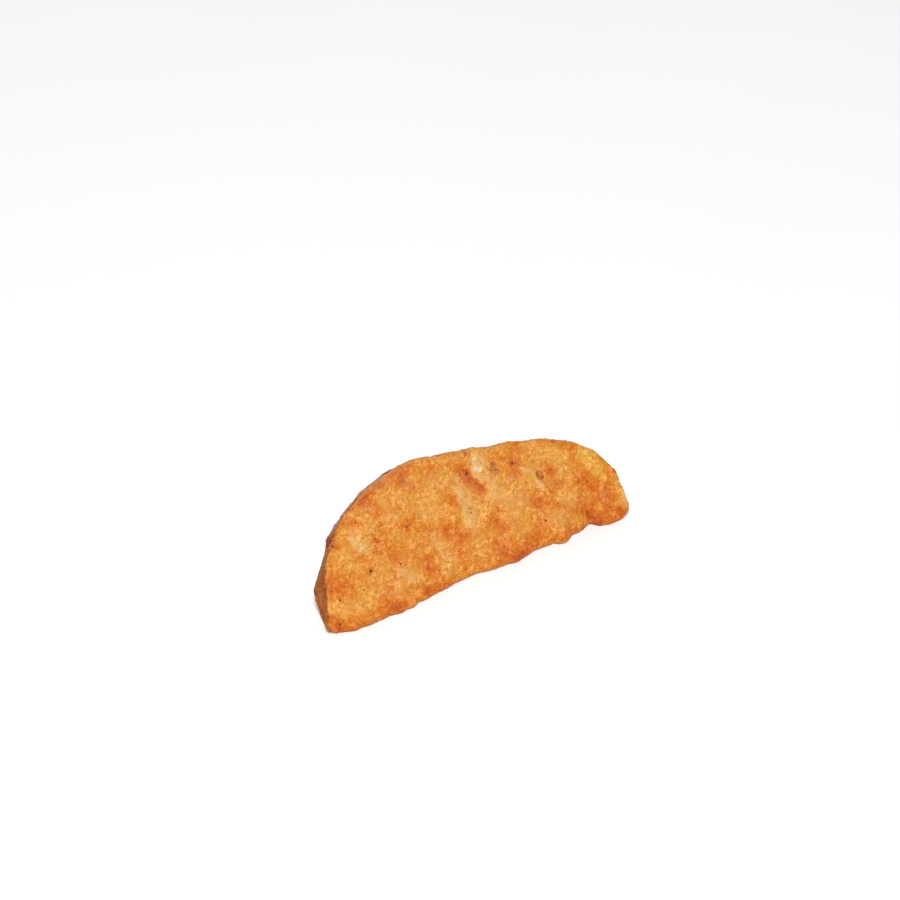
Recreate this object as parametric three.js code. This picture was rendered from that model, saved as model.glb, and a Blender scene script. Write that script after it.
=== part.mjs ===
// A seasoned, fried potato wedge: one long sector cut from a whole potato with its skin on.
//
// Two flat cut faces meet along the core edge, where the potato's middle was, and the skin closes
// the back in one curved sheet. The wedge lies on one cut face. The other cut face slopes up and
// back from the core edge at the front to the crown, where it meets the skin.
//
// Frame, in millimetres: +X along the core edge, +Y from the core edge towards the skin, +Z up.
// The origin is the middle of the wedge's footprint box, on the surface that it lies on.

import * as THREE from "three";
import { mergeVertices } from "three/addons/utils/BufferGeometryUtils.js";

// ---- driving sizes, mm and degrees -------------------------------------------------------------

const LENGTH = 76; // from tip to tip of the core edge
const SLOPE = 53; // angle between the two cut faces
const CROWN_REACH = 29.5; // core edge to crown, up the sloping face, at its widest
const HEEL_REACH = 26.5; // core edge to the skin, along the face it lies on, at its widest
const SKIN_BULGE = 1.0; // how far the skin swells past a plain arc

const CORE_ROUND = 3.4; // how far from its corner each edge starts to round over
const CROWN_ROUND = 2.3;
const HEEL_ROUND = 3.2;
// Each tip: its height above the surface, how far it sits in from the core edge's line, and the
// share of the half length in which the core edge runs out to it.
const TIPS = { near: { rise: 2.6, inset: 1.2, run: 0.06 }, far: { rise: 4.0, inset: 1.6, run: 0.07 } };

// How each face's width falls away from its widest place to the two tips. "at" is the place along
// the length, from -1 at the near tip to 1 at the far one; the powers set how blunt each end is.
const CROWN_LINE = { at: -0.15, near: [2.0, 2.1], far: [2.3, 3.9] };
const HEEL_LINE = { at: -0.15, near: [2.0, 1.9], far: [1.9, 2.6] };

// Dents and swellings of the crown's line, the heel's line and the core edge: where, how long (both
// as shares of the half length) and how far in mm.
const CROWN_WAVES = [
  { at: -0.25, run: 0.1, by: 0.3 },
  { at: 0.1, run: 0.26, by: -1.1 },
  { at: 0.29, run: 0.1, by: -0.8 },
  { at: 0.56, run: 0.12, by: 0.9 },
  { at: 0.62, run: 0.28, by: -2.7 },
];
const HEEL_WAVES = [
  { at: -0.35, run: 0.14, by: 0.6 },
  { at: 0.22, run: 0.12, by: -0.7 },
];
const CORE_WAVES = [
  { at: -0.82, run: 0.09, by: -1.5 },
  { at: -0.62, run: 0.18, by: -1.8 },
  { at: -0.45, run: 0.14, by: -1.1 },
  { at: -0.2, run: 0.16, by: -0.4 },
  { at: 0.12, run: 0.12, by: -0.6 },
  { at: 0.26, run: 0.07, by: -1.3 },
  { at: 0.56, run: 0.07, by: -1.5 },
  { at: 0.765, run: 0.055, by: 1.3 },
  { at: 0.87, run: 0.06, by: -1.5 },
  { at: 0.95, run: 0.07, by: -1.0 },
];
const CORE_FADE = 7; // mm from the core edge in which they fade

// The fried surface's slow unevenness: height in mm and the waves it is summed from.
const RELIEF = 0.3;
const RELIEF_WAVES = [
  { length: 17, along: [0.9, 0.3, 0.25], phase: 0.7 },
  { length: 12.5, along: [-0.35, 0.8, 0.5], phase: 2.1 },
  { length: 9.5, along: [0.6, -0.35, 0.72], phase: 4.4 },
  { length: 7.5, along: [0.75, 0.6, -0.3], phase: 1.3 },
  { length: 6.2, along: [-0.5, 0.45, 0.75], phase: 5.2 },
];

const STATIONS = 64; // sections along the length
const ROUND = { core: 7, face: 13, crown: 6, skin: 15, heel: 6, under: 10 }; // points on each stretch of a section

// ---- shape functions ---------------------------------------------------------------------------

const slope = THREE.MathUtils.degToRad(SLOPE);
const bell = (t, { at, run, by }) => by * Math.exp(-(((t - at) / run) ** 2));
const waves = (t, list) => list.reduce((sum, w) => sum + bell(t, w), 0);

// 1 at the widest place, 0 at the tips.
function swell(t, line) {
  const near = t < line.at;
  const share = near ? (line.at - t) / (line.at + 1) : (t - line.at) / (1 - line.at);
  const [p, q] = near ? line.near : line.far;
  return Math.max(0, 1 - Math.min(1, share) ** p) ** (1 / q);
}

// One closed section across the wedge at t, as points (y, z), from the core edge up the sloping
// face, over the crown, down the skin and back along the underside.
function section(t) {
  const tip = t < 0 ? TIPS.near : TIPS.far;
  const ends = Math.min(1, (1 - Math.abs(t)) / tip.run);
  const turn = 1 - Math.sqrt(1 - (1 - ends) ** 2);
  const full = swell(t, CROWN_LINE);
  const crownReach = CROWN_REACH * full + waves(t, CROWN_WAVES) * Math.min(1, 2 * full);
  const heelReach = HEEL_REACH * swell(t, HEEL_LINE) + waves(t, HEEL_WAVES) * Math.min(1, 2 * full);
  const small = Math.min(crownReach, heelReach);
  const shift = waves(t, CORE_WAVES) * Math.min(1, 3 * full);

  // A point at a distance from the core line and an angle about it. Dents of the core edge fade
  // out over the faces.
  const at = (reach, angle) =>
    new THREE.Vector2(
      Math.cos(angle) * reach + shift * Math.exp(-((reach / CORE_FADE) ** 2)) + tip.inset * turn,
      Math.sin(angle) * reach + tip.rise * turn,
    );
  const skinReach = (angle) => {
    const s = angle / slope;
    return THREE.MathUtils.lerp(heelReach, crownReach, s) + SKIN_BULGE * full * Math.sin(Math.PI * s);
  };
  const onSkin = (angle) => at(skinReach(angle), angle);
  const line = (from, to, angle) => ({ getPoint: (s) => at(THREE.MathUtils.lerp(from, to, s), angle) });
  const corner = (a, b, c) => new THREE.QuadraticBezierCurve(a, b, c);

  const coreRound = Math.min(CORE_ROUND, 0.3 * small);
  const crownRound = Math.min(CROWN_ROUND, 0.3 * small);
  const heelRound = Math.min(HEEL_ROUND, 0.3 * small);
  const crownDrop = slope - crownRound / Math.max(crownReach, 1e-6);
  const heelLift = heelRound / Math.max(heelReach, 1e-6);

  const stretches = [
    [corner(at(coreRound, 0), at(0, 0), at(coreRound, slope)), ROUND.core],
    [line(coreRound, crownReach - crownRound, slope), ROUND.face],
    [corner(at(crownReach - crownRound, slope), onSkin(slope), onSkin(crownDrop)), ROUND.crown],
    [{ getPoint: (s) => onSkin(THREE.MathUtils.lerp(crownDrop, heelLift, s)) }, ROUND.skin],
    [corner(onSkin(heelLift), onSkin(0), at(heelReach - heelRound, 0)), ROUND.heel],
    [line(heelReach - heelRound, coreRound, 0), ROUND.under],
  ];
  return stretches.flatMap(([curve, count]) =>
    Array.from({ length: count }, (_, i) => curve.getPoint(i / count)),
  );
}

// The slow unevenness at a point, from -1 to 1.
function unevenness(p) {
  const sum = RELIEF_WAVES.reduce((s, w) => {
    const d = p.x * w.along[0] + p.y * w.along[1] + p.z * w.along[2];
    return s + Math.sin((2 * Math.PI * d) / w.length + w.phase);
  }, 0);
  return sum / Math.sqrt(2 * RELIEF_WAVES.length);
}

// ---- the solid ---------------------------------------------------------------------------------

// Sections joined end to end, closing on a point at each tip.
function loft() {
  const around = Object.values(ROUND).reduce((a, b) => a + b, 0);
  const position = [], index = [];
  const tip = (t, { rise, inset }) => position.push((LENGTH / 2) * t, inset, rise) / 3 - 1;
  const near = tip(-1, TIPS.near);
  const first = near + 1;
  for (let i = 1; i < STATIONS; i++) {
    const t = -Math.cos((Math.PI * i) / STATIONS);
    for (const p of section(t)) position.push((LENGTH / 2) * t, p.x, p.y);
  }
  const far = tip(1, TIPS.far);
  const at = (i, j) => first + i * around + (j % around);
  for (let j = 0; j < around; j++) {
    index.push(near, at(0, j), at(0, j + 1));
    for (let i = 0; i < STATIONS - 2; i++) {
      index.push(at(i, j), at(i + 1, j), at(i, j + 1));
      index.push(at(i, j + 1), at(i + 1, j), at(i + 1, j + 1));
    }
    index.push(at(STATIONS - 2, j), far, at(STATIONS - 2, j + 1));
  }
  const geometry = new THREE.BufferGeometry();
  geometry.setAttribute("position", new THREE.Float32BufferAttribute(position, 3));
  geometry.setIndex(index);
  return geometry;
}

// Pushes the faces in and out along their normals. The underside stays flat, so the wedge rests.
function roughen(geometry) {
  geometry.computeVertexNormals();
  const { position, normal } = geometry.attributes;
  const p = new THREE.Vector3(), n = new THREE.Vector3();
  for (let i = 0; i < position.count; i++) {
    p.fromBufferAttribute(position, i);
    n.fromBufferAttribute(normal, i);
    const free = THREE.MathUtils.smoothstep(p.z, 0.3, 3);
    p.addScaledVector(n, RELIEF * unevenness(p) * free);
    position.setXYZ(i, p.x, p.y, Math.max(p.z, 0));
  }
  geometry.deleteAttribute("normal");
  return geometry;
}

// Puts the origin under the middle of the footprint box.
function centre(geometry) {
  geometry.computeBoundingBox();
  const { min, max } = geometry.boundingBox;
  return geometry.translate(-(min.x + max.x) / 2, -(min.y + max.y) / 2, -min.z);
}

const friedCoating = new THREE.MeshStandardMaterial({ color: 0xe0944a, roughness: 0.55, metalness: 0 });

const wedge = new THREE.Mesh(mergeVertices(centre(roughen(loft())), 1e-4), friedCoating);
wedge.name = "potato_wedge";

const group = new THREE.Group();
group.add(wedge);

export default group;
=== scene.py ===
# A fried, seasoned potato wedge: its crust, its skin, and the pepper and spice on it.
import math

import bmesh
import bpy
import numpy as np
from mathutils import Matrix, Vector


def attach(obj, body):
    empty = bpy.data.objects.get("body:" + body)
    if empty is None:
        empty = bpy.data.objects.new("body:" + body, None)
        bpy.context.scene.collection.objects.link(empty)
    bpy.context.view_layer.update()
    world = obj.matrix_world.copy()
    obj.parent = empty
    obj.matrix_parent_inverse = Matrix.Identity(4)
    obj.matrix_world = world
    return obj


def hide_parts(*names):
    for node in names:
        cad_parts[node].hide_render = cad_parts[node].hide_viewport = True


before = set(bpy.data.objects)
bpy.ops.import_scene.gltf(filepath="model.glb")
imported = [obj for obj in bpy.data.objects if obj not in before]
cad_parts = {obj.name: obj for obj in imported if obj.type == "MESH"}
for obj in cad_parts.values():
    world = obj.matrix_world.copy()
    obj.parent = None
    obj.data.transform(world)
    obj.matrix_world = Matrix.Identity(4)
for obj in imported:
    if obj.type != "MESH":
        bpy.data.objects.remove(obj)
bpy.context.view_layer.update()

SEED = 41

# The wedge is worked on in millimetres, in the part's frame, and scaled to metres at the end.
CORE_Y = -13.45  # the core line, where the two cut faces would meet, is y = CORE_Y, z = 0
SLOPE = math.radians(53)  # the front cut face rises from it at this angle
VOXEL = 0.27

# Marks on the front cut face, as strokes. Each runs from (x, r) to (x, r), with r the distance from
# the core line up the face, then has its half width and its strength.
PALE = [
    # the two pale bands in the middle, and the pale spot above them
    (0.2, 21.2, 1.2, 18.3, 0.9, 0.95), (1.3, 18.3, 0.7, 12.6, 1.25, 0.90), (2.4, 16.1, 5.1, 14.3, 1.5, 0.25),
    (7.7, 21.7, 8.2, 18.5, 1.0, 0.8), (8.2, 18.5, 8.5, 15.9, 1.1, 0.9), (6.5, 25.1, 6.4, 22.2, 1.2, 1.1),
    (10.7, 14.2, 13.7, 12.4, 1.3, 0.45), (10.7, 11.9, 11.3, 10.7, 1.1, 0.4), (6.8, 16.1, 7.0, 15.5, 0.3, 0.7),
    # the crest on the right, and the right end
    (18.3, 18.0, 16.8, 19.3, 0.5, 0.85), (20.1, 13.8, 18.5, 17.6, 0.5, 0.9), (20.9, 21.0, 25.1, 18.1, 1.3, 0.15),
    (37.7, 9.7, 38.0, 7.5, 0.3, 0.5), (38.1, 7.0, 37.8, 4.0, 0.35, 0.9), (33.8, 10.1, 32.5, 5.9, 0.4, 0.15),
    (32.5, 17.4, 33.2, 15.9, 0.6, 0.3), (13.3, 19.0, 13.3, 17.4, 0.6, 0.25), (23.2, 10.1, 25.3, 8.5, 1.1, 0.22),
    (19.4, 6.4, 22.2, 6.1, 1.2, 0.32),
    # the left half
    (-26.0, 18.2, -24.7, 15.9, 1.0, 1.0), (-17.9, 8.0, -16.4, 6.3, 1.0, 0.75), (-19.6, 7.1, -21.6, 4.8, 0.6, 0.4),
    (-8.6, 11.1, -6.6, 7.6, 1.0, 0.4), (-4.7, 24.3, -3.1, 22.6, 1.2, 0.25), (-9.1, 18.6, -7.8, 17.4, 1.3, 0.2),
    (-25.5, 7.0, -22.8, 5.8, 1.3, 0.18), (-32.4, 4.7, -29.0, 4.4, 1.3, 0.2), (-17.6, 19.9, -15.2, 19.7, 0.9, 0.3),
    (-13.5, 23.8, -12.0, 22.6, 1.0, 0.2), (-16.0, 27.0, -13.8, 27.8, 1.0, 0.2), (-8.9, 4.6, -7.6, 3.9, 0.4, 0.6),
    (-10.6, 25.0, -9.3, 23.9, 0.9, 0.3), (-15.7, 26.0, -17.8, 24.4, 0.9, 0.25), (-21.1, 23.6, -19.8, 22.5, 0.6, 0.3),
]
YELLOW = [
    (31.9, 17.3, 34.0, 13.3, 1.4, 1.0), (15.2, 16.3, 17.9, 17.2, 1.4, 0.45), (15.7, 20.0, 17.6, 17.7, 0.9, 0.45),
    (17.7, 20.9, 20.6, 15.7, 1.1, 0.45), (-5.9, 22.4, -4.6, 20.4, 1.3, 0.45), (-2.3, 24.8, -0.9, 22.9, 1.1, 0.35),
    (-7.1, 3.0, -4.0, 3.0, 1.5, 0.45), (5.0, 15.3, 8.6, 12.6, 1.7, 0.3), (-29.0, 5.9, -23.6, 4.0, 1.7, 0.4),
    (-23.2, 15.8, -21.9, 14.7, 1.1, 0.35), (-30.6, 15.6, -28.0, 13.3, 1.3, 0.3), (-29.0, 18.4, -28.3, 16.6, 0.9, 0.25),
    (23.2, 20.8, 26.6, 18.2, 1.5, 0.5), (10.9, 19.2, 11.5, 16.7, 0.9, 0.3), (-10.2, 21.7, -9.4, 20.1, 1.1, 0.25),
    (-34.2, 6.7, -33.8, 4.3, 0.9, 0.25), (36.6, 10.0, 37.3, 7.0, 0.9, 0.5),
]
DEEP = [
    # by the crown, from left to right
    (-27.0, 22.2, -22.7, 25.1, 0.6, 0.5), (-22.7, 25.1, -17.4, 27.3, 0.9, 0.75), (-17.4, 27.3, -12.4, 28.4, 1.0, 0.8),
    (-12.4, 28.4, -7.7, 28.5, 0.9, 0.7), (-25.3, 22.5, -24.0, 21.1, 1.0, 0.4), (-20.8, 23.7, -16.6, 20.6, 1.3, 0.35),
    (-11.0, 28.0, -10.2, 24.9, 1.6, 0.85), (-4.1, 26.6, -1.7, 26.2, 0.9, 0.3), (-3.7, 26.2, -3.8, 24.9, 1.1, 0.3),
    (0.9, 26.2, 3.3, 23.7, 1.1, 0.45), (3.4, 23.2, 5.1, 19.0, 1.5, 1.0), (-4.7, 22.5, -3.7, 20.1, 0.9, 0.3),
    (16.8, 24.5, 16.0, 22.5, 1.5, 0.4), (15.7, 22.3, 15.2, 20.0, 1.4, 0.55), (29.5, 19.6, 28.8, 17.0, 1.0, 0.3),
    # across the middle
    (-27.0, 10.5, -25.8, 8.7, 0.9, 0.25), (-21.0, 15.2, -18.7, 12.1, 1.7, 0.3), (-14.6, 17.9, -12.8, 16.1, 1.1, 0.4),
    (-10.8, 14.6, -7.8, 14.5, 1.1, 0.25), (-13.4, 10.6, -10.9, 7.9, 1.5, 0.4), (-12.5, 7.8, -10.8, 4.4, 1.5, 0.45),
    (-1.0, 18.4, -1.2, 16.7, 0.9, 0.55), (-4.8, 13.6, -2.2, 9.7, 1.7, 0.6), (-3.9, 7.6, -1.1, 4.2, 1.5, 0.25),
    (-0.1, 10.3, 4.0, 9.7, 0.9, 0.25), (6.2, 10.9, 7.9, 8.7, 1.4, 0.55), (4.2, 7.8, 7.7, 5.1, 1.3, 0.3),
    (15.7, 12.6, 20.2, 9.6, 1.4, 0.55), (22.5, 16.5, 24.3, 12.6, 1.3, 0.45), (19.6, 18.9, 22.0, 15.6, 0.7, 0.25), (29.3, 12.6, 34.0, 6.0, 2.0, 0.6),
    # along the core edge
    (-36.3, 4.3, -35.4, 2.2, 0.9, 0.4), (-34.6, 11.1, -29.8, 9.6, 1.4, 0.6), (-24.4, 3.8, -20.8, 2.1, 1.2, 0.6),
    (-22.3, 5.9, -21.9, 3.6, 1.1, 0.4), (-13.7, 2.2, -10.1, 2.8, 1.1, 0.5), (4.5, 5.8, 9.5, 1.9, 1.5, 0.75),
    (17.4, 6.9, 13.0, 3.1, 1.5, 0.4), (21.9, 7.4, 26.3, 7.4, 1.1, 0.25), (28.4, 6.4, 31.2, 3.0, 1.5, 0.7),
    (31.9, 7.0, 35.4, 3.1, 1.5, 0.65), (36.3, 3.9, 36.3, 2.1, 0.8, 0.5),
]
CHARRED = [
    (10.4, 22.8, 10.2, 22.2, 0.45, 0.8), (10.6, 21.4, 10.7, 20.7, 0.5, 1.0), (9.6, 22.4, 9.5, 21.3, 0.5, 0.6),
    (19.9, 17.0, 20.6, 15.8, 0.5, 0.75), (5.0, 26.9, 5.3, 26.6, 0.4, 0.6), (29.0, 4.6, 29.1, 3.4, 0.3, 0.5),
    (26.1, 22.3, 26.2, 22.0, 0.4, 0.55), (35.9, 3.5, 36.0, 3.2, 0.3, 0.4), (3.8, 22.9, 4.0, 22.6, 0.3, 0.5),
    (-24.5, 10.9, -24.4, 10.6, 0.5, 0.5), (-30.3, 19.8, -30.6, 18.8, 0.8, 0.9), (14.7, 21.3, 14.9, 21.0, 0.5, 0.55),
]
FROST_AND_GLINT_PATCHES = [  # where the crust is dry and full of fine pale grains, whose pale specks also stand in for painted glints
    (-13.3, 23.1, -7.8, 18.7, 2.6, 0.8), (-17.1, 24.2, -20.5, 22.0, 1.7, 0.6), (23.9, 11.7, 30.1, 7.2, 3.0, 0.9),
    (32.3, 17.0, 34.6, 12.6, 1.7, 0.6), (-28.0, 14.7, -21.3, 9.9, 2.6, 0.5), (-8.5, 7.4, 1.1, 6.2, 2.6, 0.5),
    (23.1, 20.2, 25.4, 15.9, 1.9, 0.6), (7.1, 8.6, 16.9, 7.3, 2.2, 0.6), (-33.0, 7.6, -24.3, 5.5, 2.6, 0.5),
    (-15.2, 6.5, -11.1, 7.3, 1.7, 0.6), (13.9, 13.0, 10.5, 10.8, 1.7, 0.4),
]
RAISED = [  # with height in mm in place of strength
    (-0.4, 21.2, 0.8, 18.4, 0.8, 0.25), (0.8, 18.4, 0.3, 13.1, 1.1, 0.28), (7.7, 21.7, 8.4, 16.2, 0.9, 0.22),
    (17.1, 19.3, 19.0, 17.9, 0.5, 0.22), (18.9, 18.2, 19.9, 13.9, 0.5, 0.20), (35.0, 10.1, 33.8, 4.7, 1.3, 0.25),
    (-17.9, 8.0, -16.4, 6.3, 1.2, 0.18), (-26.0, 18.2, -24.7, 15.9, 0.9, 0.16), (-8.9, 4.6, -7.6, 3.9, 0.5, 0.2),
]
SUNK = [
    (3.7, 22.5, 5.2, 18.8, 1.0, 0.20), (20.6, 17.1, 21.7, 13.7, 0.9, 0.12), (10.5, 22.8, 10.8, 20.8, 0.7, 0.15),
    (29.1, 4.8, 29.2, 3.4, 0.4, 0.5), (34.4, 9.9, 33.1, 5.6, 0.5, 0.22), (3.3, 16.8, 3.1, 13.5, 0.9, 0.15),
    (-1.1, 18.6, -1.2, 15.4, 0.7, 0.18), (15.2, 22.0, 15.0, 19.6, 0.7, 0.2),
]
# Places where the outline swells or dips: x, y, z, how wide and how high in mm.
SWELLS = [
    (-35.9, -5.0, 7.5, 2.1, 0.90), (-35.7, -3.0, 6.2, 1.5, 0.20), (-31.4, 2.6, 7.2, 2.8, -0.60),
    (-37.0, -8.0, 1.4, 2.6, -0.90), (-37.4, -11.7, 1.2, 1.8, -1.20), (30.4, -11.7, 1.1, 1.3, 1.3),
    (-2.4, -12.1, 1.9, 3.4, -0.40), (-29.8, 2.0, 13.2, 1.5, 0.40), (5.2, 4.9, 21.2, 2.6, -0.60),
    (12.9, 4.8, 19.6, 3.0, -0.65), (20.0, 2.4, 18.8, 4.0, -0.25),
]
# Nicks and bumps of the core edge: x, half width and height in mm.
NICKS = [
    (-35.4, 0.8, -0.22), (-30.2, 1.3, -0.33), (-23.4, 1.5, -0.46), (-19.4, 0.7, -0.33), (-16.2, 1.0, -0.54),
    (-5.8, 2.2, -0.50), (-1.0, 2.4, -0.50), (7.0, 0.7, -0.13), (10.6, 1.7, -0.44), (13.4, 1.2, -0.25),
    (18.6, 0.7, -0.55), (23.6, 1.5, -0.65), (28.8, 0.5, -0.41), (30.7, 0.7, 0.67), (33.8, 1.4, -0.35),
]
# Pepper flecks on the front cut face: x, r and size across.
PEPPER = [
    (-24.3, 10.8, 0.87), (-17.4, 9.9, 0.56), (-16.5, 9.2, 0.39), (-22.3, 14.2, 0.52), (-21.1, 17.0, 0.43),
    (-20.9, 16.1, 0.43), (-27.5, 7.7, 0.39), (-33.1, 7.6, 0.56), (-34.8, 2.8, 0.74), (-33.9, 3.2, 0.43),
    (3.9, 22.7, 0.69), (5.3, 26.9, 0.65), (0.1, 22.1, 0.35), (1.8, 14.4, 0.43), (-3.3, 3.3, 0.52),
    (-13.3, 16.8, 0.43), (-18.9, 19.1, 0.35), (-23.0, 11.7, 0.35), (8.3, 13.4, 0.43), (14.8, 21.2, 0.80),
    (19.9, 16.8, 0.55), (20.6, 15.9, 0.60), (16.2, 16.1, 0.43), (18.0, 17.9, 0.32), (23.2, 16.8, 0.48),
    (24.7, 16.1, 0.39), (21.7, 12.0, 0.43), (22.0, 9.2, 0.39), (17.9, 6.8, 0.65), (25.9, 5.9, 0.43),
    (30.6, 11.3, 0.61), (35.1, 9.5, 0.43), (-24.3, 21.5, 0.48), (36.1, 3.3, 0.43), (6.8, 11.0, 0.35),
    (-12.0, 6.7, 0.35), (-8.5, 9.3, 0.30), (13.5, 17.6, 0.32), (5.1, 15.5, 0.32), (18.0, 25.2, 0.45),
]


# ---- noise ------------------------------------------------------------------------------------------

def scrambled(ix, iy, iz, seed):
    """A whole number from 0 to 2**32 - 1 for each lattice point."""
    h = (ix * 73856093) ^ (iy * 19349663) ^ (iz * 83492791) ^ (seed * 2654435761)
    h &= 0xFFFFFFFF
    for _ in range(2):
        h = ((h ^ (h >> 16)) * 0x45D9F3B) & 0xFFFFFFFF
    return h ^ (h >> 16)


def noise(p, seed=0):
    """Smooth gradient noise from about -1 to 1 at points p."""
    i = np.floor(p).astype(np.int64)
    f = p - i
    u = f * f * f * (f * (f * 6 - 15) + 10)
    total = np.zeros(len(p))
    for dx in (0, 1):
        for dy in (0, 1):
            for dz in (0, 1):
                h = scrambled(i[:, 0] + dx, i[:, 1] + dy, i[:, 2] + dz, SEED + seed)
                g = np.stack([h & 1023, (h >> 10) & 1023, (h >> 20) & 1023], 1) / 511.5 - 1
                w = (u[:, 0] if dx else 1 - u[:, 0]) * (u[:, 1] if dy else 1 - u[:, 1]) * (u[:, 2] if dz else 1 - u[:, 2])
                total += w * (g * (f - (dx, dy, dz))).sum(1)
    return total * 1.5


def fbm(p, octaves=3, seed=0, gain=0.5):
    return sum(noise(p * 2.03**k + 7.1 * k, seed + 13 * k) * gain**k for k in range(octaves))


def cells(p, seed=0):
    """Distance to the nearest of scattered points, and that point's own value from 0 to 1."""
    i = np.floor(p).astype(np.int64)
    near = np.full(len(p), 9.0)
    value = np.zeros(len(p))
    for dx in (-1, 0, 1):
        for dy in (-1, 0, 1):
            for dz in (-1, 0, 1):
                c = i + (dx, dy, dz)
                h = scrambled(c[:, 0], c[:, 1], c[:, 2], SEED + seed)
                spot = c + np.stack([h & 1023, (h >> 10) & 1023, (h >> 20) & 1023], 1) / 1023
                d = np.sqrt(((p - spot) ** 2).sum(1))
                value = np.where(d < near, (h >> 5 & 255) / 255, value)
                near = np.minimum(near, d)
    return near, value


def smooth(x, lo, hi):
    t = np.clip((x - lo) / (hi - lo), 0, 1)
    return t * t * (3 - 2 * t)


def strokes(x, r, marks, crisp=0.0, lean=1.0):
    """How strongly the marks cover each point, the strongest mark counting.

    One side of each mark is crisp, and lean is how far it fades out on the other.
    """
    cover = np.zeros(len(x))
    for x0, r0, x1, r1, width, strength in marks:
        dx, dr = x1 - x0, r1 - r0
        s = np.clip(((x - x0) * dx + (r - r0) * dr) / max(dx * dx + dr * dr, 1e-9), 0, 1)
        d = np.hypot(x - x0 - s * dx, r - r0 - s * dr) / width
        side = smooth(dx * (r - r0) - dr * (x - x0), -0.3, 0.3)
        sharp = crisp * (1 - side * (lean > 1))
        d = d / (1 + (lean - 1) * side)
        cover = np.maximum(cover, strength * (sharp * smooth(d, 1.2, 0.75) + (1 - sharp) * np.exp(-((d * 0.8) ** 2))))
    return cover


# ---- the crust's mesh --------------------------------------------------------------------------------

def even_copy(node):
    """The node's mesh in mm, remade of even small quads."""
    bm = bmesh.new()
    bm.from_mesh(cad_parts[node].data)
    bmesh.ops.scale(bm, vec=(1000, 1000, 1000), verts=bm.verts)
    bmesh.ops.remove_doubles(bm, verts=bm.verts, dist=1e-3)
    mesh = bpy.data.meshes.new("even")
    bm.to_mesh(mesh)
    bm.free()
    holder = bpy.data.objects.new("even", mesh)
    bpy.context.scene.collection.objects.link(holder)
    remesh = holder.modifiers.new("even", "REMESH")
    remesh.mode = "VOXEL"
    remesh.voxel_size = VOXEL
    bpy.context.view_layer.update()
    made = bpy.data.meshes.new_from_object(holder.evaluated_get(bpy.context.evaluated_depsgraph_get()))
    bpy.data.objects.remove(holder)
    bpy.data.meshes.remove(mesh)
    return made


class Surface:
    """A quad mesh's points and faces as arrays."""

    def __init__(self, mesh):
        self.co = np.zeros(len(mesh.vertices) * 3)
        mesh.vertices.foreach_get("co", self.co)
        self.co = self.co.reshape(-1, 3)
        edges = np.zeros(len(mesh.edges) * 2, np.int64)
        mesh.edges.foreach_get("vertices", edges)
        self.a, self.b = edges.reshape(-1, 2).T
        self.count = np.bincount(np.r_[self.a, self.b], minlength=len(self.co)).astype(float)
        starts = np.zeros(len(mesh.polygons), np.int64)
        sizes = np.zeros(len(mesh.polygons), np.int64)
        mesh.polygons.foreach_get("loop_start", starts)
        mesh.polygons.foreach_get("loop_total", sizes)
        corners = np.zeros(len(mesh.loops), np.int64)
        mesh.loops.foreach_get("vertex_index", corners)
        self.corners = corners
        self.starts, self.sizes = starts, sizes

    def around(self, value):
        """The mean of a value over each point's neighbours."""
        if value.ndim == 1:
            return (
                np.bincount(self.a, value[self.b], len(value)) + np.bincount(self.b, value[self.a], len(value))
            ) / self.count
        return np.stack([self.around(value[:, k]) for k in range(value.shape[1])], 1)

    def soften(self, value, rounds, part=0.5):
        for _ in range(rounds):
            value = value + part * (self.around(value) - value)
        return value

    def normals(self):
        c = self.corners
        first, last = c[self.starts], c[self.starts + self.sizes - 1]
        second, third = c[self.starts + 1], c[self.starts + 2]
        n = np.cross(self.co[third] - self.co[first], self.co[last] - self.co[second])
        out = np.zeros_like(self.co)
        for corner in (first, second, third, last):
            for k in range(3):
                out[:, k] += np.bincount(corner, n[:, k], len(out))
        return out / (np.linalg.norm(out, axis=1)[:, None] + 1e-12)


even = even_copy("potato_wedge")
body = Surface(even)
body.co = body.soften(body.co, 3)
for _ in range(10):  # irons out the facets and swells back what that shrinks
    body.co = body.soften(body.co, 1, 0.60)
    body.co = body.soften(body.co, 1, -0.62)
broad_normal = body.soften(body.normals(), 14)
broad_normal /= np.linalg.norm(broad_normal, axis=1)[:, None]

x, y, z = body.co.T
r = np.hypot(y - CORE_Y, z)
angle = np.arctan2(z, y - CORE_Y)
to_front = broad_normal @ np.array([0, -math.sin(SLOPE), math.cos(SLOPE)])
to_floor = -broad_normal[:, 2]

# Marks are looked up at places pushed about a little, so that no mark has a drawn outline.
p = body.co
warp = np.stack(
    [0.42 * noise(p / 2.3 + 31 * k, 60 + k) + 0.32 * noise(p / 0.9 + 17 * k, 70 + k) for k in range(2)], 1
)
wx, wr = x + warp[:, 0], r + warp[:, 1]
stray = np.stack([0.75 * noise(p / 2.0 + 23 * k, 64 + k) + 0.50 * noise(p / 0.75 + 11 * k, 74 + k) for k in range(2)], 1)
ux, ur = wx + stray[:, 0], wr + stray[:, 1]

# Where the cut faces end and the skin begins: right at the edge on the near end, past it elsewhere.
near_core = smooth(r, 6.5, 3.5) * smooth(np.abs(broad_normal[:, 0]), 0.75, 0.45)
ragged = 0.09 * noise(p / 1.7, 80) + 0.05 * noise(p / 0.6, 81)
outside = 1 - np.maximum(to_front, to_floor)
begins = np.interp(x, [-34, -30, -26, 34, 37], [0.42, 0.65, 0.97, 0.97, 1.0])
begins = np.where(to_front > to_floor, begins, np.minimum(begins, 0.80))
skin = smooth(outside + ragged, begins, begins + 0.10) * (1 - near_core)
edge = np.exp(-(((outside + ragged) - begins) / 0.13) ** 2) * (1 - near_core)
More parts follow.
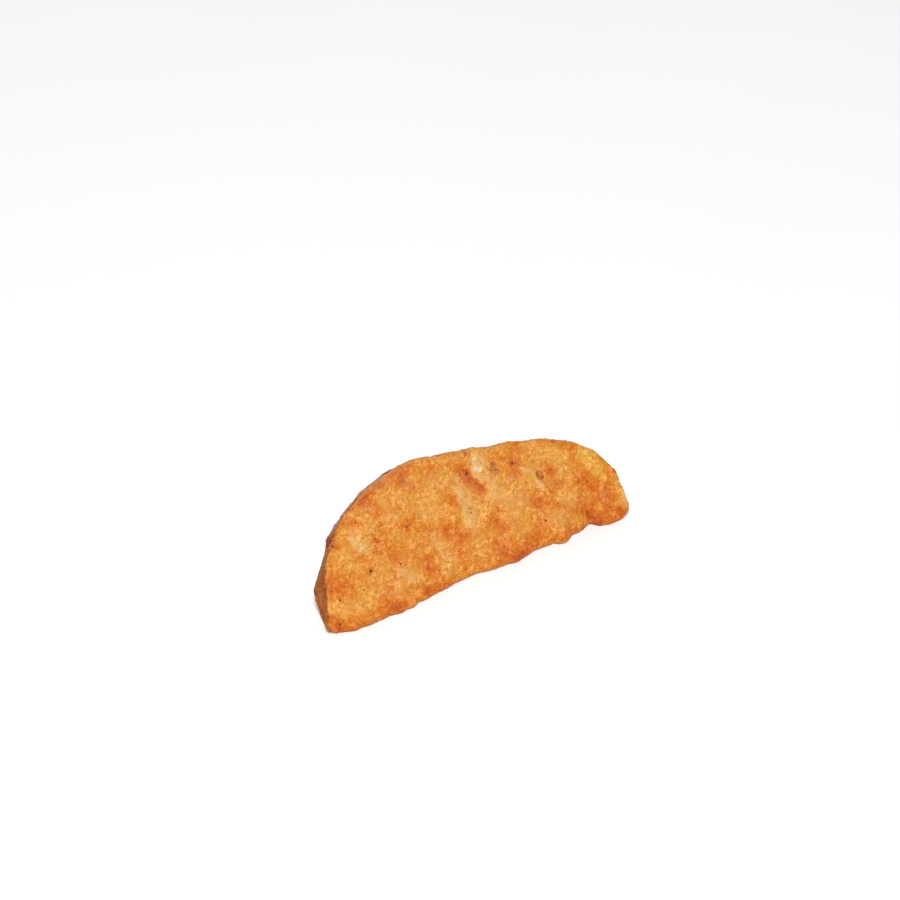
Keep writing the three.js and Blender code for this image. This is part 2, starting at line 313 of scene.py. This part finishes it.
# At the near end the skin comes round on to the front, up to this line.
border = np.interp(r, [0, 2.5, 4.4, 6.5, 8.4, 10.6, 12.7, 14.6, 16.5, 18.5], [-39.8, -38.0, -36.5, -36.0, -35.5, -35.0, -34.4, -33.7, -32.6, -31.6])
past = np.where((to_front > to_floor) & (r < 19), border - x + 0.22 * noise(p / 1.4, 82) + 0.10 * noise(p / 0.6, 83), -9.0)
skin = np.maximum(skin, smooth(past, 0.0, 0.22))
edge = np.where(x < -31, np.minimum(edge, 0.4), edge)
lip = np.exp(-(((past + 0.22) / 0.22) ** 2))
cut = 1 - skin
front = smooth(to_front, 0.15, 0.6) * cut
free = smooth(z, 0.25, 2.2)  # the underside stays flat

# ---- relief ----
lumps = fbm(p / 4.6, 3, 1)
billow = 1 - np.abs(noise(p / 1.9 + warp[:, :1], 5)) * 2.2
crinkle = 1 - np.abs(noise(p / 0.85, 6)) * 2.2
grain = noise(p / 0.55, 7)
near, value = cells(p / 2.4, 8)
blister = np.where(value > 0.62, smooth(near, 0.42, 0.05), 0) * (0.4 + 0.6 * value)
bare_blister = blister * (value > 0.8)
near, value = cells(p / 1.5, 9)
pit = np.where(value > 0.72, smooth(near, 0.33, 0.08), 0)
near, value = cells(p / 1.15, 14)
pebble = np.sqrt(np.clip(1 - (near / 0.75) ** 2, 0, 1)) * (0.35 + 0.65 * value)
near, value = cells(p / 0.66, 15)
small_pebble = np.sqrt(np.clip(1 - (near / 0.75) ** 2, 0, 1)) * (0.35 + 0.65 * value)
flake = smooth(fbm(p / 3.6 + 0.3 * warp[:, :1], 3, 18), 0.12, 0.20)  # a thin layer with crisp edges
coarseness = 0.45 + 0.55 * smooth(fbm(p / 6.0, 2, 12), -0.45, 0.45)
raised = strokes(wx, wr, RAISED, 0.5) * front
sunk = strokes(wx, wr, SUNK, 0.5) * front

cut_relief = (
    0.12 * lumps + 0.045 * billow + 0.11 * blister - 0.09 * pit + 0.07 * flake + raised - sunk
    + coarseness * (0.08 * pebble + 0.065 * small_pebble + 0.05 * crinkle + 0.045 * grain)
)
along = np.stack([x / 5.5, angle * r / 1.3, r / 6], 1)
wrinkle = 1 - np.abs(noise(along + 0.35 * warp[:, :1], 11)) * 2.4
veins = 1 - np.abs(noise(along * 2.3 + 0.5 * warp[:, 1:], 13)) * 2.4
batter = smooth(fbm(p / 3.1 + 40, 3, 19), 0.30, 0.42)  # coating that stuck to the skin
skin_relief = (
    0.13 * lumps + 0.055 * wrinkle + 0.025 * veins + 0.015 * grain + 0.10 * bare_blister
    + batter * (0.12 + 0.06 * pebble + 0.03 * small_pebble)
)
height = cut_relief * cut + skin_relief * skin

# Crisp nubs of batter along the skin's edge, and nicks along the core edge.
near, value = cells(np.stack([x / 2.9, y / 2.2, z / 2.2], 1), 16)
nub = np.where(value > 0.45, smooth(near, 0.62, 0.18), 0) * edge
height += (0.34 - 0.18 * smooth(z, 6, 12)) * nub + 0.04 * edge
core_band = np.exp(-((r - 1.4) / 2.0) ** 2)
height += core_band * (0.22 * fbm(np.stack([x / 2.1, r / 5, z / 5], 1), 4, 21, 0.6) - 0.06 * core_band)
height += 0.04 * lip - 0.38 * np.clip(past, 0, 2.5)
for sx, sy, sz, wide, by in SWELLS:
    height += by * np.exp(-(((p - (sx, sy, sz)) ** 2).sum(1)) / wide**2)

move = height * free + 0.35 * np.minimum(height, 0) * (1 - free) * smooth(z, 0.02, 0.3)
body.co = body.co + body.normals() * move[:, None]
for at, wide, by in NICKS:
    body.co[:, 1] -= by * np.exp(-(((x - at) / wide) ** 2) - (r / 3.2) ** 2)
body.co[:, 0] += 0.65 * np.exp(-(((x + 37.3) / 1.4) ** 2) - ((y + 12.3) / 1.4) ** 2 - (z / 2.6) ** 2)  # rounds the near tip
body.co[:, 2] = np.maximum(body.co[:, 2], 0)

# ---- colour masks ----
fine_normal = body.normals()
bulge = ((body.co - body.soften(body.co, 5)) * fine_normal).sum(1)  # above zero on ridges, below in creases
swell = ((body.co - body.soften(body.co, 36)) * fine_normal).sum(1)

mottle = smooth(fbm(p / 3.2, 2, 33), -0.45, 0.55) - 0.5
tone = 0.51 + 0.08 * fbm(p / 7.0, 2, 30) + 0.15 * mottle + 0.03 * noise(p / 0.9, 37)
breaks = np.clip(0.92 + 0.45 * fbm(p / 1.6, 2, 38), 0.4, 1.3)
tone += 0.54 * strokes(ux, ur, DEEP, 0.3) * front * breaks - 0.37 * strokes(ux, ur, YELLOW, 0.3) * front * breaks
tone += 0.16 * core_band + 0.10 * edge * cut + 0.35 * nub
tone += np.clip(swell * 0.35, -0.10, 0.18) - 0.5 * np.clip(bulge, -0.10, 0.06) - 0.05 * flake
for fx, fr, size in PEPPER:
    tone += 0.12 * np.exp(-(((x - fx) ** 2 + (r - fr) ** 2) / (0.4 + size * 0.6) ** 2)) * front

broken = 0.80 + 0.60 * noise(p / 1.2, 41) + 0.50 * noise(p / 0.55, 42)
pale = strokes(wx + 0.5 * stray[:, 0], wr + 0.5 * stray[:, 1], PALE, 0.55, 1.5) * front * np.clip(broken, 0.15, 1.2)
pale = np.maximum(pale, 0.10 * smooth(fbm(p / 2.6, 2, 45), 0.35, 0.85) * cut)
pale = np.maximum(pale, 0.30 * lip * (1 - near_core) * np.clip(broken, 0.15, 1.2))
frost_and_glints = np.maximum(strokes(wx, wr, FROST_AND_GLINT_PATCHES) * front, 0.55 * smooth(fbm(p / 5.0, 2, 47), 0.0, 0.6))
charred = strokes(x + 0.4 * warp[:, 0], r + 0.4 * warp[:, 1], CHARRED) * front * np.clip(broken + 0.2, 0.5, 1.1)
rim = edge * smooth(fbm(p / 2.7, 2, 50), -0.35, 0.35) * (1 - nub)
near_strip = smooth(x, -24, -32) * smooth(y, 6, 0)  # the skin that shows past the near end of the front face
# The thin pale line of bare potato between crust and skin, in places.
cut_line = 0.55 * np.exp(-(((outside + ragged) - begins - 0.05) / 0.04) ** 2) * smooth(fbm(p / 4.2, 2, 52), -0.15, 0.25)
cut_line *= (1 - near_core) * (1 - nub) * smooth(x, -30, -22)
dark_spots = smooth(fbm(p / 3.8, 3, 55), 0.40, 0.75) * skin * (1 - near_strip)
spot = np.hypot(x + 30.1, r - 19.3)  # the brown spot on the near end's edge
dark_spots = np.maximum(dark_spots, smooth(spot, 1.7, 0.5) * smooth(outside, 0.1, 0.3))

masks = {
    "tone": np.clip(tone, 0, 1),
    "pale": np.clip(pale, 0, 1.2),
    "frost_and_glints": np.clip(frost_and_glints, 0, 1),
    "skin": np.clip(skin, 0, 1),
    "batter": np.clip(batter * skin + nub * skin, 0, 1),
    "rim": np.clip(rim, 0, 1),
    "cut_line": np.clip(cut_line, 0, 1),
    "charred": np.clip(charred, 0, 1),
    "dark_spots": np.clip(dark_spots, 0, 1),
    "crease": np.clip(-bulge * 9, 0, 1),
    "dry": np.clip(near_strip * skin + 0.5 * edge + 0.5 * core_band + (0.7 * smooth(x, 27, 32) + 0.6 * smooth(x, -25, -30)) * front, 0, 1),
    "shaded": np.clip(np.exp(-(((past - 0.35) / 0.7) ** 2)) * (past > 0) * 0.9, 0, 1),
    "plain_skin": np.clip(near_strip * skin, 0, 1),
}


# ---- materials ---------------------------------------------------------------------------------------

HAZE = (0.028, 0.029, 0.028)  # what gloss adds to each colour under these lights
LIT = 1.25  # and how much of a surface's own colour they send back


def seen(r8, g8, b8):
    """The surface colour, linear, that these lights show as an 8-bit sRGB colour."""
    shown = (c / 12.92 if c <= 0.04045 else ((c + 0.055) / 1.055) ** 2.4 for c in (r8 / 255, g8 / 255, b8 / 255))
    return tuple(min(1.0, max(0.004, (c - h) / LIT)) for c, h in zip(shown, HAZE)) + (1.0,)


class Nodes:
    """Short ways to add and join shader nodes."""

    def __init__(self, name):
        self.material = bpy.data.materials.new(name)
        self.material.use_nodes = True
        self.tree = self.material.node_tree
        self.tree.nodes.clear()
        self.shader = self.add("ShaderNodeBsdfPrincipled")
        out = self.add("ShaderNodeOutputMaterial")
        self.link(self.shader.outputs[0], out.inputs["Surface"])
        self.place = self.add("ShaderNodeTexCoord").outputs["Object"]

    def add(self, kind, **settings):
        node = self.tree.nodes.new(kind)
        for key, value in settings.items():
            setattr(node, key, value)
        return node

    def link(self, a, b):
        self.tree.links.new(a, b)

    def feed(self, value, socket):
        if isinstance(value, bpy.types.NodeSocket):
            self.link(value, socket)
        else:
            socket.default_value = value

    def moved(self, offset, stretch=(1, 1, 1)):
        if not offset and stretch == (1, 1, 1):
            return self.place
        node = self.add("ShaderNodeMapping")
        self.link(self.place, node.inputs["Vector"])
        node.inputs["Location"].default_value = (offset, offset * 0.7, offset * 1.3)
        node.inputs["Scale"].default_value = stretch
        return node.outputs[0]

    def noise(self, size_mm, detail=2.0, rough=0.5, offset=0.0, stretch=(1, 1, 1), curl=0.0):
        node = self.add("ShaderNodeTexNoise")
        node.inputs["Distortion"].default_value = curl
        node.inputs["Scale"].default_value = 1000 / size_mm
        node.inputs["Detail"].default_value = detail
        node.inputs["Roughness"].default_value = rough
        self.link(self.moved(offset, stretch), node.inputs["Vector"])
        return node.outputs[0]

    def voronoi(self, size_mm, offset=0.0):
        node = self.add("ShaderNodeTexVoronoi", feature="F1")
        node.inputs["Scale"].default_value = 1000 / size_mm
        self.link(self.moved(offset), node.inputs["Vector"])
        return node.outputs["Distance"]

    def ridges(self, size_mm, width, offset=0.0):
        """Thin winding lines, 1 along their middles."""
        from_middle = self.math("ABSOLUTE", self.math("SUBTRACT", self.noise(size_mm, 1.0, 0.5, offset, curl=0.7), 0.5))
        return self.span(from_middle, 0.0, width, 1.0, 0.0)

    def mask(self, name):
        return self.add("ShaderNodeAttribute", attribute_name=name).outputs["Fac"]

    def math(self, operation, a, b=0.0):
        node = self.add("ShaderNodeMath", operation=operation)
        self.feed(a, node.inputs[0])
        self.feed(b, node.inputs[1])
        return node.outputs[0]

    def add_up(self, *values):
        total = values[0]
        for value in values[1:]:
            total = self.math("ADD", total, value)
        return total

    def times(self, *values):
        total = values[0]
        for value in values[1:]:
            total = self.math("MULTIPLY", total, value)
        return total

    def span(self, value, lo, hi, to_lo=0.0, to_hi=1.0):
        node = self.add("ShaderNodeMapRange")
        self.feed(value, node.inputs[0])
        for k, v in enumerate((lo, hi, to_lo, to_hi)):
            node.inputs[k + 1].default_value = v
        return node.outputs[0]

    def ramp(self, value, stops):
        node = self.add("ShaderNodeValToRGB")
        elements = node.color_ramp.elements
        while len(elements) < len(stops):
            elements.new(0.5)
        for element, (at, colour) in zip(elements, stops):
            element.position = at
            element.color = colour
        self.feed(value, node.inputs[0])
        return node.outputs[0]

    def mix(self, amount, a, b):
        node = self.add("ShaderNodeMix", data_type="RGBA")
        self.feed(amount, node.inputs[0])
        self.feed(a, node.inputs[6])
        self.feed(b, node.inputs[7])
        return node.outputs[2]

    def tinted(self, colour, amount, dark, light):
        """The colour times a tint, from dark where the amount is 0 to light where it is 1."""
        node = self.add("ShaderNodeVectorMath", operation="MULTIPLY")
        self.link(colour, node.inputs[0])
        self.link(self.mix(amount, (*dark, 1.0), (*light, 1.0)), node.inputs[1])
        return node.outputs[0]

    def lifted(self, colour, steps):
        """The colour made lighter by about this many 8-bit steps, in red, green and blue alike."""
        by = self.add("ShaderNodeVectorMath", operation="SCALE")
        by.inputs[0].default_value = (0.0062, 0.0037, 0.0016)
        self.feed(steps, by.inputs["Scale"])
        total = self.add("ShaderNodeVectorMath", operation="ADD")
        self.link(colour, total.inputs[0])
        self.link(by.outputs[0], total.inputs[1])
        least = self.add("ShaderNodeVectorMath", operation="MAXIMUM")
        self.link(total.outputs[0], least.inputs[0])
        least.inputs[1].default_value = (0.004, 0.004, 0.004)
        return least.outputs[0]

    def bump(self, height, distance_mm, under=None):
        node = self.add("ShaderNodeBump")
        node.inputs["Strength"].default_value = 1.0
        node.inputs["Distance"].default_value = distance_mm / 1000
        self.feed(height, node.inputs["Height"])
        if under is not None:
            self.link(under, node.inputs["Normal"])
        return node.outputs[0]


def set_fixed(shader, **values):
    """Sets values that are the same all over on the shader's own sockets."""
    for name, value in values.items():
        shader.inputs[name.replace("_", " ")].default_value = value


def crust_material():
    n = Nodes("fried_crust")
    mid = n.noise(0.62, 3.0, 0.6)
    fine = n.noise(0.42, 2.0, 0.65, offset=0.31)
    skin_share = n.mask("skin")

    # The golden cut faces.
    tone = n.add_up(n.mask("tone"), n.span(mid, 0.3, 0.7, -0.02, 0.02), n.span(n.noise(1.5, 3.0, 0.6, offset=2.9), 0.3, 0.7, -0.030, 0.030))
    golden = n.ramp(tone, [
        (0.00, seen(246, 184, 84)),
        (0.22, seen(241, 173, 78)),
        (0.42, seen(235, 160, 74)),
        (0.60, seen(231, 142, 59)),
        (0.80, seen(224, 121, 47)),
        (1.00, seen(203, 101, 40)),
    ])
    cream = n.mix(n.span(fine, 0.3, 0.7), seen(252, 205, 137), seen(247, 189, 112))
    cream = n.mix(n.span(n.mask("pale"), 0.90, 1.15), cream, seen(249, 213, 168))
    cut = n.mix(n.times(n.mask("pale"), n.span(mid, 0.25, 0.6, 0.75, 1.0)), golden, cream)
    # Pale grains where the crust is dry: partly real grains, partly painted glints.
    grains = n.times(n.span(n.noise(0.46, 2.0, 0.5, offset=1.7), 0.54, 0.66), n.mask("frost_and_glints"))
    cut = n.mix(n.times(grains, 0.32), cut, seen(250, 200, 126))

    # The skin: amber where it is thin, olive where the potato shows through, with dark blotches.
    cloud = n.add_up(n.noise(4.2, 3.0, 0.6, offset=0.12), n.span(mid, 0.3, 0.7, -0.06, 0.06))
    skin = n.ramp(cloud, [
        (0.26, seen(132, 66, 38)),
        (0.40, seen(164, 88, 42)),
        (0.52, seen(190, 108, 48)),
        (0.63, seen(204, 126, 58)),
        (0.78, seen(192, 140, 80)),
    ])
    skin = n.mix(n.times(n.mask("plain_skin"), 0.75), skin, seen(184, 112, 56))
    streaks = n.noise(1.5, 4.0, 0.6, offset=2.3, stretch=(0.28, 1, 1))
    skin = n.mix(n.span(streaks, 0.52, 0.70, 0.0, 0.35), skin, seen(138, 76, 44))
    skin = n.mix(n.times(n.mask("dark_spots"), n.span(mid, 0.3, 0.7, 0.5, 0.85)), skin, seen(104, 54, 42))
    # Pale specks on the skin: partly dry crust, partly painted glints.
    dry = n.span(n.noise(0.40, 2.0, 0.5, offset=3.1), 0.58, 0.68)
    skin = n.mix(n.times(dry, n.mask("frost_and_glints"), 0.60), skin, seen(232, 172, 116))
    skin = n.mix(n.times(n.mask("batter"), 0.75), skin, n.ramp(n.add_up(tone, 0.12), [
        (0.30, seen(226, 152, 70)), (0.55, seen(208, 118, 48)), (0.85, seen(158, 76, 34)),
    ]))

    colour = n.mix(skin_share, cut, skin)
    colour = n.mix(n.times(n.mask("rim"), 0.55), colour, n.mix(n.span(mid, 0.4, 0.6), seen(214, 150, 84), seen(166, 96, 48)))
    colour = n.mix(n.mask("cut_line"), colour, seen(244, 204, 160))
    colour = n.mix(n.times(n.mask("crease"), 0.22), colour, seen(186, 84, 34))
    colour = n.mix(n.times(n.mask("charred"), 0.80), colour, n.mix(n.span(fine, 0.4, 0.6), seen(146, 64, 30), seen(178, 88, 38)))
    colour = n.tinted(colour, n.mask("shaded"), (1.0, 1.0, 1.0), (0.80, 0.74, 0.78))
    # Paprika ground too fine to model.
    dust = n.span(n.voronoi(0.42), 0.17, 0.10)
    where = n.span(n.noise(2.2, 2.0, 0.5, offset=0.77), 0.48, 0.62)
    colour = n.mix(n.times(dust, where, 0.20), colour, seen(184, 80, 34))
    # The crust's fine crinkles, with painted highlights on their tops and painted shade in their creases, lightened or
    # darkened alike in red, green and blue as glints would be, and its grains, each a little lighter or darker.
    crinkled = n.span(n.noise(3.4, 2.0, 0.5, offset=1.4), 0.36, 0.54, 0.25, 1.0)
    snatches = n.span(n.noise(1.0, 2.0, 0.5, offset=5.1), 0.42, 0.56, 0.15, 1.0)
    crinkles = n.times(n.add_up(n.times(n.ridges(1.70, 0.080, 0.4), 0.6), n.times(n.ridges(1.05, 0.105, 1.9), 0.6), n.times(n.ridges(0.60, 0.140, 2.7), 0.60)), crinkled, snatches)
    crinkles = n.times(crinkles, n.span(n.mask("pale"), 0.3, 1.0, 1.0, 0.3))
    creases = n.times(n.add_up(n.times(n.ridges(1.60, 0.060, 3.3), 0.6), n.times(n.ridges(0.85, 0.100, 4.2), 0.6)), crinkled)
    # Painted crinkle highlights, painted crease shade, then grain and slow noise, in 8-bit steps.
    steps = n.add_up(
        n.span(crinkles, 0.0, 1.0, -7, 42),
        n.span(creases, 0.0, 1.0, 1, -15),
        n.span(fine, 0.30, 0.70, -13, 13),
        n.span(n.noise(1.3, 2.0, 0.5, offset=6.2), 0.32, 0.68, -2, 2),
    )
    colour = n.lifted(colour, n.times(steps, n.span(tone, 0.35, 0.95, 1.05, 0.50), n.span(skin_share, 0.0, 1.0, 1.0, 0.6)))
    n.link(colour, n.shader.inputs["Base Color"])

    wet = n.noise(0.9, 3.0, 0.55, offset=0.5)
    rough = n.math("SUBTRACT", n.span(wet, 0.35, 0.68, 0.60, 0.30), n.times(skin_share, 0.08))
    rough = n.math("ADD", rough, n.times(n.mask("dry"), 0.25))
    n.link(rough, n.shader.inputs["Roughness"])
    oil = n.math("SUBTRACT", n.span(n.noise(3.0, 3.0, 0.6, offset=1.1), 0.42, 0.62, 0.04, 0.34), n.times(n.mask("dry"), 0.6))
    oil = n.math("MAXIMUM", oil, 0.0)
    n.link(oil, n.shader.inputs["Coat Weight"])
    coarse = n.bump(n.noise(0.85, 3.0, 0.50, offset=0.9), 0.20)
    crinkly = n.bump(n.add_up(crinkles, n.times(grains, 0.5), n.times(creases, -0.7)), 0.07, under=coarse)
    n.link(n.bump(fine, 0.03, under=crinkly), n.shader.inputs["Normal"])
    set_fixed(
        n.shader,
        Specular_IOR_Level=0.22,
        Coat_Roughness=0.25,
    )
    return n.material


def fleck_material(name, dark, light, rough=0.65):
    n = Nodes(name)
    n.link(n.ramp(n.noise(0.3, 3.0, 0.6), [(0.3, dark), (0.7, light)]), n.shader.inputs["Base Color"])
    n.link(n.span(n.noise(0.2), 0.3, 0.7, rough - 0.12, rough + 0.12), n.shader.inputs["Roughness"])
    n.link(n.bump(n.noise(0.12, 3.0), 0.03), n.shader.inputs["Normal"])
    set_fixed(n.shader, Specular_IOR_Level=0.1)
    return n.material


# ---- the crust's object ------------------------------------------------------------------------------

def unwrap(mesh):
    """Lays the front face, the underside and the skin side by side, so that baked maps have no other seams."""
    starts = body.starts
    mean = lambda value: sum(value[body.corners[starts + k]] for k in range(4)) / 4
    f, u, rr, nx = mean(to_front), mean(to_floor), mean(r), np.abs(mean(broad_normal[:, 0]))
    core = (rr < 8) & (nx < 0.8)
    is_front = (f >= u) & ((f > 0.5) | core)
    is_under = (u > f) & ((u > 0.5) | core)
    patch = np.repeat(np.where(is_front, 0, np.where(is_under, 1, 2)), 4)
    co, c = body.co, body.corners
    up_face = (co[c] - (0, CORE_Y, 0)) @ np.array([0, math.cos(SLOPE), math.sin(SLOPE)])
    back_of = co[c, 1] - CORE_Y
    round_skin = np.arctan2(co[c, 2], back_of) * 27
    v = np.choose(patch, [up_face + 3, back_of + 36, round_skin + 66])
    uv = np.stack([co[c, 0] + 46, v], 1) / 94
    layer = mesh.uv_layers.new(name="OFBake")
    layer.data.foreach_set("uv", uv.astype(np.float32).ravel())


even.vertices.foreach_set("co", (body.co / 1000).astype(np.float32).ravel())
even.update()
even.name = "wedge_crust"
even.polygons.foreach_set("use_smooth", np.ones(len(even.polygons), bool))
unwrap(even)
for name, values in masks.items():
    even.attributes.new(name, "FLOAT", "POINT").data.foreach_set("value", values.astype(np.float32))
crust = bpy.data.objects.new("wedge_crust", even)
bpy.context.scene.collection.objects.link(crust)
even.materials.clear()
even.materials.append(crust_material())


# ---- pepper, spice and crumbs ------------------------------------------------------------------------

rng = np.random.default_rng(SEED)


def ball(steps):
    bm = bmesh.new()
    bmesh.ops.create_icosphere(bm, subdivisions=steps, radius=1.0)
    co = np.array([v.co[:] for v in bm.verts])
    faces = np.array([[v.index for v in f.verts] for f in bm.faces])
    bm.free()
    return co, faces


def scatter(name, places, material, steps, flat, rough, rise):
    """One joined mesh of small irregular bits, each at (point, normal, size) on the crust."""
    unit, faces = ball(steps)
    all_co, all_faces = [], []
    for k, (point, up, size) in enumerate(places):
        side = np.cross(up, rng.normal(size=3))
        side /= np.linalg.norm(side)
        lean = up + 0.3 * rng.normal(size=3)
        lean /= np.linalg.norm(lean)
        side = side - lean * (side @ lean)
        side /= np.linalg.norm(side)
        other = np.cross(lean, side)
        stretch = rng.uniform(0.55, 1.0)
        shape = unit * (1 + rough * noise(unit * 1.7 + 9.7 * k, 90))[:, None]
        shape = shape * np.array([1.0, stretch, rng.uniform(*flat)]) * size / 2
        co = shape[:, :1] * side + shape[:, 1:2] * other + shape[:, 2:] * lean
        all_co.append(point + up * size / 2 * np.mean(flat) * rise + co)
        all_faces.append(faces + k * len(unit))
    co, tris = np.concatenate(all_co), np.concatenate(all_faces)
    co[:, 2] = np.maximum(co[:, 2], 0.02)
    mesh = bpy.data.meshes.new(name)
    mesh.from_pydata((co / 1000).tolist(), [], tris.tolist())
    mesh.polygons.foreach_set("use_smooth", np.ones(len(tris), bool))
    mesh.materials.append(material)
    obj = bpy.data.objects.new(name, mesh)
    bpy.context.scene.collection.objects.link(obj)
    return obj


on_face = np.flatnonzero(front > 0.5)


def at_mark(fx, fr):
    i = on_face[np.argmin((x[on_face] - fx) ** 2 + (r[on_face] - fr) ** 2)]
    return body.co[i], broad_normal[i]


def spread(count, weight, sizes):
    weight = weight * (body.co[:, 2] > 0.8)
    picked = rng.choice(len(weight), size=count, replace=False, p=weight / weight.sum())
    return [(body.co[i], broad_normal[i], s) for i, s in zip(picked, rng.uniform(*sizes, size=count))]


off_edge = 1 - smooth(edge + core_band, 0.2, 0.5)
patchy = (0.15 + smooth(fbm(p / 6, 2, 95), -0.3, 0.6)) * off_edge
marked = [(*at_mark(fx, fr), size * 0.85) for fx, fr, size in PEPPER]
marked += spread(40, patchy * skin, (0.25, 0.55))
marked += spread(46, patchy, (0.14, 0.26))
pepper = scatter(
    "pepper_flecks", marked, fleck_material("ground_pepper", seen(112, 48, 20), seen(152, 78, 34)), 2, (0.4, 0.7), 0.45, -0.15
)
grains = scatter(
    "spice_grains", spread(260, patchy, (0.10, 0.22)),
    fleck_material("paprika", seen(158, 74, 38), seen(206, 112, 50)), 1, (0.5, 0.9), 0.3, 0.1,
)
crumb_weight = (0.2 + patchy) * (0.3 * cut + 1.6 * np.exp(-((r - 1.8) / 1.4) ** 2) + 0.8 * edge * smooth(to_front, 0.75, 0.45))
crumbs = scatter(
    "crust_crumbs", spread(260, crumb_weight, (0.25, 0.65)),
    fleck_material("crumb", seen(206, 116, 48), seen(242, 178, 98)), 2, (0.45, 0.8), 0.4, -0.2,
)

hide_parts("potato_wedge")
for piece in (crust, pepper, grains, crumbs):
    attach(piece, "root")


# ---- floor, light and camera -------------------------------------------------------------------------

bpy.ops.mesh.primitive_plane_add(size=6.0, location=(0, 0, 0))
floor = bpy.context.object
floor.name = "floor"
paper = Nodes("pale_floor")
paper.link(paper.ramp(paper.noise(180, 2.0), [(0.3, (0.94, 0.94, 0.94, 1)), (0.7, (0.96, 0.96, 0.96, 1))]), paper.shader.inputs["Base Color"])
set_fixed(paper.shader, Roughness=0.9, Specular_IOR_Level=0.1)
floor.data.materials.append(paper.material)


def softbox(name, place, size, power, aim=(0, 0, 0.01)):
    data = bpy.data.lights.new(name, "AREA")
    data.shape = "DISK"
    data.size = size
    data.energy = power
    lamp = bpy.data.objects.new(name, data)
    bpy.context.scene.collection.objects.link(lamp)
    lamp.location = place
    lamp.rotation_euler = (Vector(aim) - Vector(place)).to_track_quat("-Z", "Y").to_euler()


softbox("key", (-0.30, -0.50, 1.00), 0.28, 11.4)
softbox("fill", (0.80, -0.75, 0.55), 1.2, 1.3)
softbox("back", (0.25, 0.95, 0.75), 0.9, 3.0)

world = bpy.data.worlds.new("studio")
world.use_nodes = True
world.node_tree.nodes["Background"].inputs[0].default_value = (1, 1, 1, 1)
world.node_tree.nodes["Background"].inputs[1].default_value = 0.27
bpy.context.scene.world = world

AZIMUTH, ELEVATION = math.radians(-31), math.radians(40)
back = Vector((math.sin(AZIMUTH) * math.cos(ELEVATION), -math.cos(AZIMUTH) * math.cos(ELEVATION), math.sin(ELEVATION)))
lens = bpy.data.cameras.new("camera")
lens.lens = 95
lens.sensor_width = 36
lens.clip_start, lens.clip_end = 0.01, 20
camera = bpy.data.objects.new("camera", lens)
bpy.context.scene.collection.objects.link(camera)
camera.location = (-0.1999098, -0.3317509, 0.3516114)
camera.rotation_euler = (-back).to_track_quat("-Z", "Y").to_euler()
bpy.context.scene.camera = camera

bpy.context.scene.view_settings.view_transform = "Standard"
bpy.context.scene.view_settings.look = "None"
